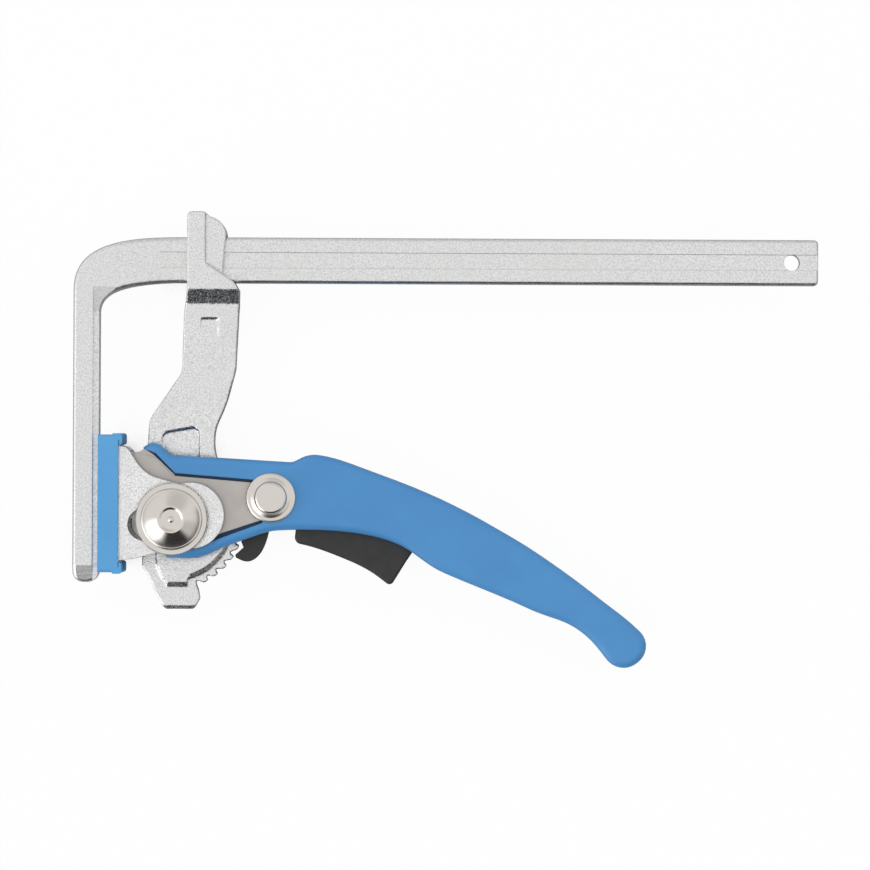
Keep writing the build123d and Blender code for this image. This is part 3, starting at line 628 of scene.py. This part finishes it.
def white_paper():
    """Paper that is plain white to the camera, but for a soft shade close to what lies on it.

    Deep inside the clamp's slots, and less so close to the clamp, the paper's colour is darkened: painted
    shade, on top of the paper's real shadow. Glossy rays see all of the paper as a mid grey: a painted
    reflection in the metal.
    """
    look = Look("paper", grey(0.93), roughness=0.9)
    look.bump(look.noise(3.0, detail=3.0), 0.02)
    rays = look.add("LightPath").outputs
    openness = look.ramp(look.occlusion(SHADE_DISTANCE, SHADE_SAMPLES), (0.08, 0.0), (0.28, 0.96))
    # painted shade: the paper's colour goes dark where the clamp hems it in
    paper_with_painted_shade = look.mixed(openness, grey(0.06), grey(0.93))
    # painted reflection: metal sees the paper as a mid grey, darker than its white
    look.colour(look.mixed(rays["Is Glossy Ray"], paper_with_painted_shade, grey(0.5)))
    glow = look.add("Emission")
    look.feed(glow.inputs["Color"], WHITE)
    look.feed(glow.inputs["Strength"], 1.0)
    blend = look.add("MixShader")
    look.link(look.maths("MULTIPLY", rays["Is Camera Ray"], openness), blend.inputs["Fac"])
    look.link(look.shader.outputs["BSDF"], blend.inputs[1])
    look.link(glow.outputs["Emission"], blend.inputs[2])
    look.link(blend.outputs["Shader"], look.tree.nodes["Material Output"].inputs["Surface"])
    return look.mat


def add_floor():
    level = cad_box[0].z - FLOOR_GAP * MM
    half = FLOOR_HALF * MM
    corners = [(-half, -half, level), (half, -half, level), (half, half, level), (-half, half, level)]
    mesh = bpy.data.meshes.new("floor")
    mesh.from_pydata(corners, [], [(0, 1, 2, 3)])
    floor = add_piece("floor", mesh, white_paper())


add_floor()


# ------------------------------------------------------------------ light
class Sky(NodeTree):
    """The studio's world, whose brightness is worked out from the direction looked in."""

    def __init__(self, name):
        world = bpy.data.worlds.new(name)
        bpy.context.scene.world = world
        world.use_nodes = True
        super().__init__(world.node_tree)
        self.tree.nodes.clear()
        self.direction = self.add("TexCoord").outputs["Generated"]

    def toward(self, *aim):
        return self.agreement(self.direction, Vector(aim).normalized())

    def step(self, source, start, end, low=0.0, high=1.0):
        """Goes smoothly from low to high while the source goes from start to end."""
        node = self.add("MapRange")
        node.interpolation_type = "SMOOTHSTEP"
        for socket, value in (("From Min", start), ("From Max", end), ("To Min", low), ("To Max", high)):
            node.inputs[socket].default_value = value
        self.link(source, node.inputs["Value"])
        return node.outputs["Result"]

    def shine(self, level):
        """Gives the world this brightness, but plain white to the camera."""
        strength = self.add("Mix")
        strength.data_type = "FLOAT"
        seen = self.add("LightPath").outputs["Is Camera Ray"]
        for socket, value in zip((strength.inputs[0], *strength.inputs[2:4]), (seen, level, 1.0)):
            self.feed(socket, value)
        background = self.add("Background")
        self.feed(background.inputs["Color"], WHITE)
        self.link(strength.outputs[0], background.inputs["Strength"])
        self.link(background.outputs["Background"], self.add("OutputWorld").inputs["Surface"])


def add_tent():
    """A white tent with a dark opening on the handle's side of the clamp, and panels inside it."""
    sky = Sky("studio")

    # the opening is a wedge about straight below the clamp, wider further down
    below = sky.toward(0, -1, 0)
    slant = sky.maths("DIVIDE", sky.toward(1, 0, 0), sky.maths("MAXIMUM", below, 0.05))
    aside = sky.maths("ABSOLUTE", sky.maths("SUBTRACT", slant, 0.2))
    opening = sky.maths("MULTIPLY", sky.step(below, 0.5, 0.7), sky.step(aside, 0.42, 0.95, 1.0, 0.0))

    # near the floor it is dark at the lower right too
    near_floor = sky.step(sky.toward(0, 0, 1), 0.05, 0.22, 1.0, 0.0)
    low_right = sky.maths("MULTIPLY", near_floor, sky.step(sky.toward(0.62, -0.78, 0), 0.1, 0.45))
    dark = sky.maths("MULTIPLY", sky.maths("MAXIMUM", opening, low_right), 0.96)

    # the walls: a greyer patch of roof, a bright panel at the left and a greyer corner at the right
    roof = sky.step(sky.toward(0.22, 0.84, 0.5), 0.78, 0.97, 0.93, 0.7)
    left_panel = sky.step(sky.toward(-0.76, -0.5, 0.42), 0.8, 0.95, 0.0, 1.1)
    right_corner = sky.step(sky.toward(0.74, -0.55, 0.4), 0.8, 0.97, 1.0, 0.74)
    lit = sky.maths("MULTIPLY", sky.maths("ADD", roof, left_panel), right_corner)
    sky.shine(sky.maths("MULTIPLY", lit, sky.maths("SUBTRACT", 1.0, dark)))


def add_softbox(name, position, size, watts, target):
    """A round soft lamp that metal doesn't reflect."""
    lamp = bpy.data.lights.new(name, "AREA")
    lamp.shape = "DISK"
    lamp.size = size * MM
    lamp.energy = watts
    obj = bpy.data.objects.new(name, lamp)
    obj.location = Vector(position) * MM
    obj.rotation_euler = (Vector(target) - Vector(position)).to_track_quat("-Z", "Y").to_euler()
    obj.visible_glossy = False
    bpy.context.scene.collection.objects.link(obj)


add_tent()
add_softbox("key", position=(20, 620, 850), size=550, watts=1.1, target=(90, 20, 0))

# ------------------------------------------------------------------ camera
VIEW_CENTRE = (91.85, 19.03)
VIEW_HEIGHT = 1400.0
VIEW_ROLL_DEGREES = 0.28
VIEW_DEPTH = 20000.0
SENSOR_WIDTH = 36.0
FOCAL_LENGTH = 211.5


def add_camera():
    """Looks straight down on the clamp's side from far away, with a slight roll."""
    data = bpy.data.cameras.new("camera")
    data.sensor_width = SENSOR_WIDTH
    data.lens = FOCAL_LENGTH
    data.clip_end = VIEW_DEPTH * MM
    camera = bpy.data.objects.new("camera", data)
    camera.location = [place * MM for place in (*VIEW_CENTRE, VIEW_HEIGHT)]
    camera.rotation_euler = (0.0, 0.0, math.radians(VIEW_ROLL_DEGREES))
    bpy.context.scene.collection.objects.link(camera)
    bpy.context.scene.camera = camera


add_camera()
bpy.context.scene.view_settings.view_transform = "Standard"
